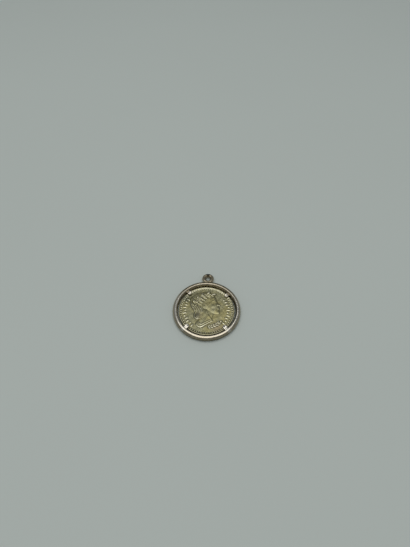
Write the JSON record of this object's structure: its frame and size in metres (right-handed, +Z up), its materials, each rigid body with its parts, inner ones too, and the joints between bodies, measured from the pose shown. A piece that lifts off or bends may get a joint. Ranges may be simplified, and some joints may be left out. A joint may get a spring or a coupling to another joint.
{
  "type": "coin pendant",
  "caption": "Round coin held by claws in a silver frame with a gap around it and a small hanging ring on top.",
  "frame": {"origin": "middle of the pendant's outline, hanging ring included, on the surface that its back lies on", "axes": "+Z up out of the coin's face, +Y towards the hanging ring, +X to the right of the coin's face"},
  "size_m": [0.0264, 0.0304, 0.0023],
  "materials": {
    "coin": "worn struck silver with a pale olive-gold tone and grey-green tarnish",
    "frame": "silver gone brownish, rubbed bright on its crest and claws"
  },
  "bodies": {
    "root": {"coin": "coin", "frame": "frame"}
  },
  "joints": []
}
